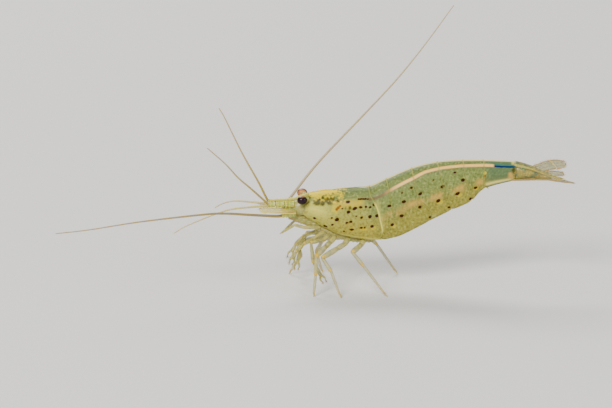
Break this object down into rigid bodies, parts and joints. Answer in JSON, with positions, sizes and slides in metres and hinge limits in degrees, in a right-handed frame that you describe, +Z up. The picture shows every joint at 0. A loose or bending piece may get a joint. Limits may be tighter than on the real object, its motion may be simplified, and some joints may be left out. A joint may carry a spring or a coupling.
{
  "type": "aquarium shrimp",
  "caption": "Life-size model of a freshwater dwarf shrimp standing on its walking legs, feelers spread and tail fan open.",
  "frame": {"origin": "centre of the bounding box in plan, at the floor under the feet", "axes": "+Z up, -X towards the head, -Y towards the animal's left side"},
  "size_m": [0.0767, 0.0332, 0.0399],
  "materials": {
    "shell": "translucent glossy shell, olive to grey-green",
    "fin": "thin clear horn, amber at the rims",
    "leg": "translucent tan with orange joints",
    "feeler": "satin olive-brown",
    "eye": "wet black cornea"
  },
  "bodies": {
    "root": {"carapace": "shell", "abdomen_1": "shell", "abdomen_2": "shell", "abdomen_3": "shell", "abdomen_4": "shell", "abdomen_5": "shell", "abdomen_6": "shell", "head": "shell", "sternum": "shell", "mouthparts": "leg", "rostrum": "shell", "eye_left": "eye", "eyestalk_left": "shell", "antennule_stem_left": "shell", "antenna_scale_left": "fin", "antenna_base_left": "shell", "antenna_1_left": "feeler", "antenna_2_left": "feeler", "antenna_3_left": "feeler", "eye_right": "eye", "eyestalk_right": "shell", "antennule_stem_right": "shell", "antenna_scale_right": "fin", "antenna_base_right": "shell", "antenna_1_right": "feeler", "antenna_2_right": "feeler", "antenna_3_right": "feeler", "antennule_outer_left": "feeler", "antennule_outer_right": "feeler", "antennule_inner_left": "feeler", "antennule_inner_right": "feeler", "mouth_leg_left": "leg", "mouth_leg_right": "leg", "claw_leg_1_left": "leg", "claw_leg_1_right": "leg", "claw_leg_2_left": "leg", "claw_leg_2_right": "leg", "walking_leg_3_left": "leg", "walking_leg_3_right": "leg", "walking_leg_4_left": "leg", "walking_leg_4_right": "leg", "walking_leg_5_left": "leg", "walking_leg_5_right": "leg", "swimmeret_1_left": "fin", "swimmeret_1_right": "fin", "swimmeret_2_left": "fin", "swimmeret_2_right": "fin", "swimmeret_3_left": "fin", "swimmeret_3_right": "fin", "swimmeret_4_left": "fin", "swimmeret_4_right": "fin", "swimmeret_5_left": "fin", "swimmeret_5_right": "fin", "telson": "shell", "tail_fan_outer_left": "fin", "tail_fan_inner_left": "fin", "tail_fan_outer_right": "fin", "tail_fan_inner_right": "fin"}
  },
  "joints": []
}
